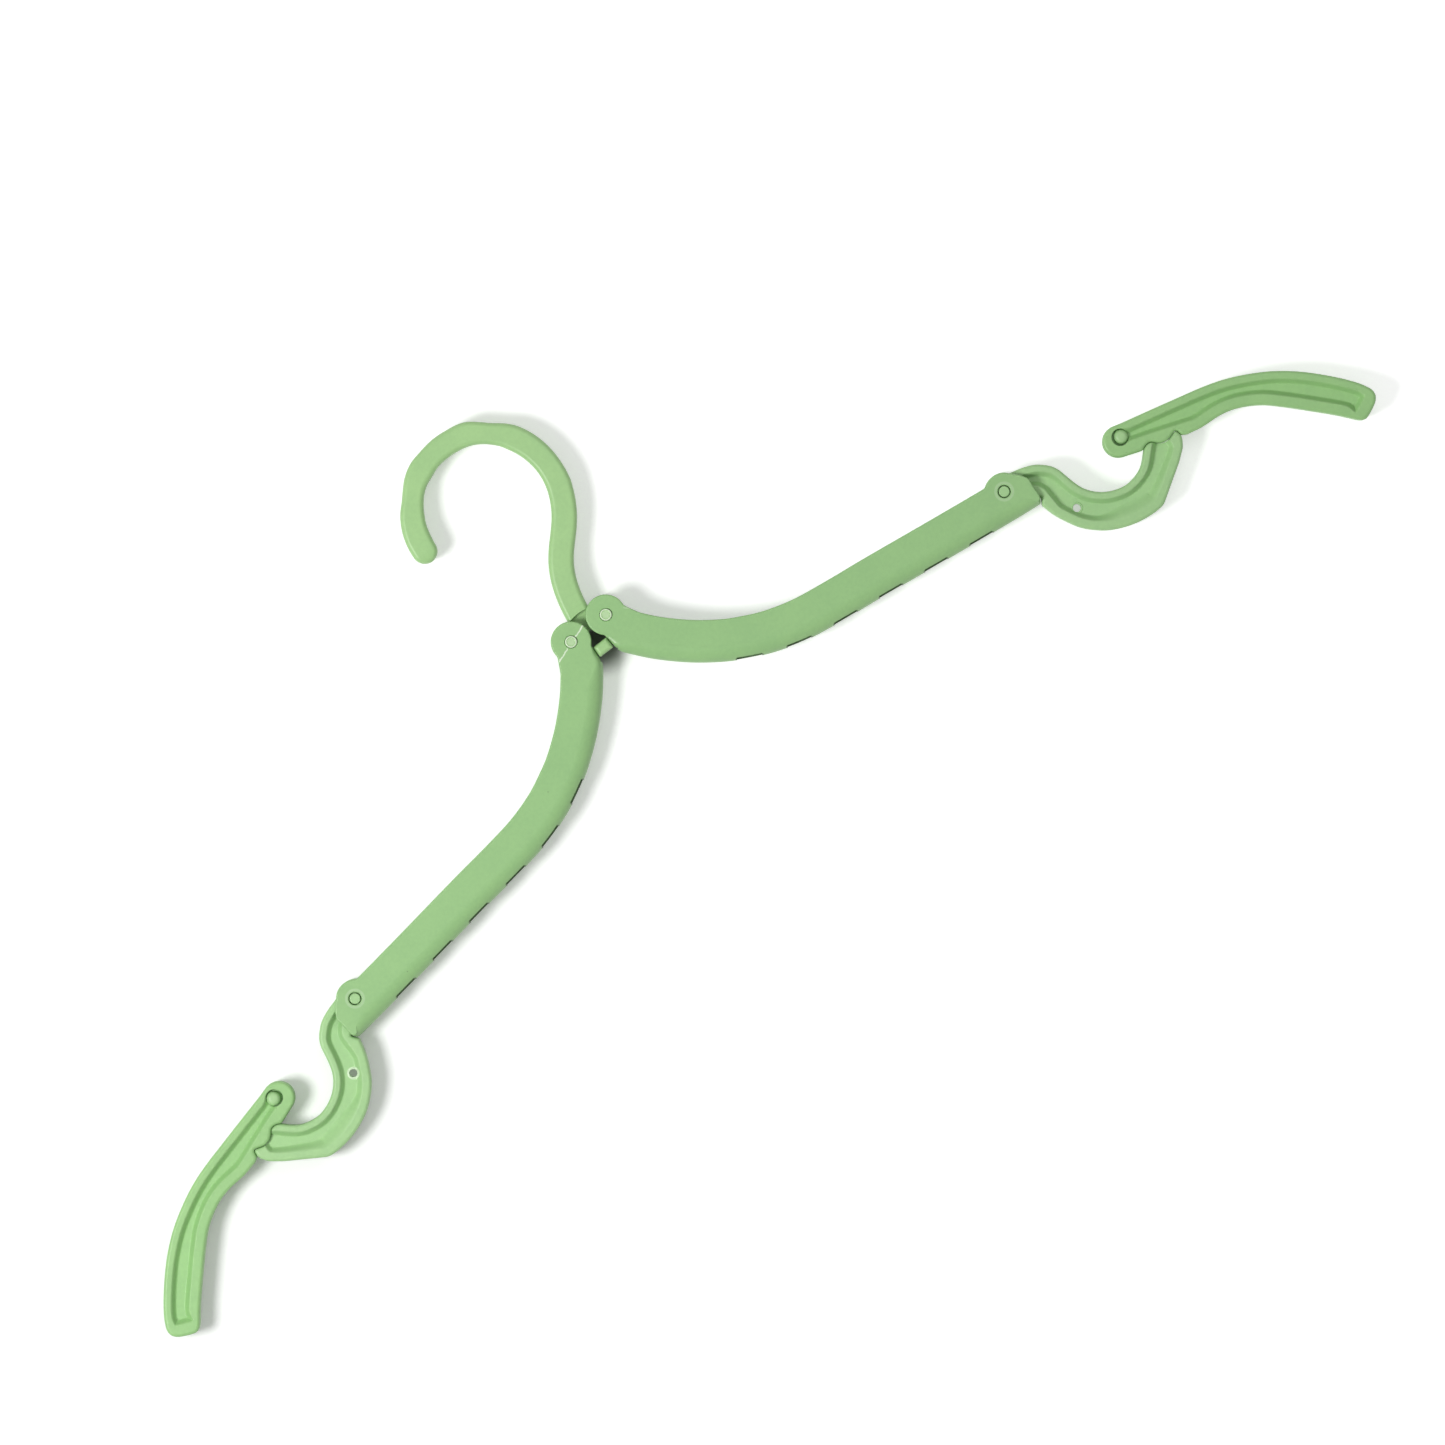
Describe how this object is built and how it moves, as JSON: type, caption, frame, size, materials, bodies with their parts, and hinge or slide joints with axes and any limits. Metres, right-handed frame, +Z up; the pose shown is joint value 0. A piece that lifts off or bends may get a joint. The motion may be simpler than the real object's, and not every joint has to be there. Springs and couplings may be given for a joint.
{
  "type": "folding travel hanger",
  "caption": "Folding plastic clothes hanger: rod hook, channel arms on a hub, strap hooks at their ends and curved shoulder levers.",
  "frame": {"origin": "the rod seat: the inner top of the hook's loop, in the hanger's middle plane", "axes": "+X along the open shoulders to the right as seen from the front, +Y through the thickness to the back, +Z up"},
  "size_m": [0.42, 0.0122, 0.1535],
  "materials": {
    "hook_green": "satin moulded, light apple green",
    "arm_green": "satin moulded, light green",
    "end_hook_green": "satin moulded, light green",
    "lever_green": "satin moulded, light green"
  },
  "bodies": {
    "hook_body": {"hook": "hook_green"},
    "right_arm_body": {"right_arm": "arm_green"},
    "left_arm_body": {"left_arm": "arm_green"},
    "right_end_hook_body": {"right_end_hook": "end_hook_green"},
    "left_end_hook_body": {"left_end_hook": "end_hook_green"},
    "right_lever_body": {"right_lever": "lever_green"},
    "left_lever_body": {"left_lever": "lever_green"}
  },
  "joints": [
    {"name": "right_arm_fold", "type": "hinge", "parent": "hook_body", "child": "right_arm_body", "pos_m": [0.00795, 0, -0.06075], "axis": [0, -1, 0], "range_deg": [0, 95]},
    {"name": "left_arm_fold", "type": "hinge", "parent": "hook_body", "child": "left_arm_body", "pos_m": [-0.00415, 0, -0.06075], "axis": [0, 1, 0], "range_deg": [0, 95]},
    {"name": "right_end_hook_fold", "type": "hinge", "parent": "right_arm_body", "child": "right_end_hook_body", "pos_m": [0.1149, 0, -0.1014], "axis": [0, -1, 0], "range_deg": [0, 187]},
    {"name": "left_end_hook_fold", "type": "hinge", "parent": "left_arm_body", "child": "left_end_hook_body", "pos_m": [-0.1111, 0, -0.1014], "axis": [0, 1, 0], "range_deg": [0, 187]},
    {"name": "right_lever_fold", "type": "hinge", "parent": "right_end_hook_body", "child": "right_lever_body", "pos_m": [0.14955, 0, -0.10924], "axis": [0, 1, 0], "range_deg": [-165, 0]},
    {"name": "left_lever_fold", "type": "hinge", "parent": "left_end_hook_body", "child": "left_lever_body", "pos_m": [-0.14575, 0, -0.10924], "axis": [0, -1, 0], "range_deg": [-165, 0]}
  ]
}
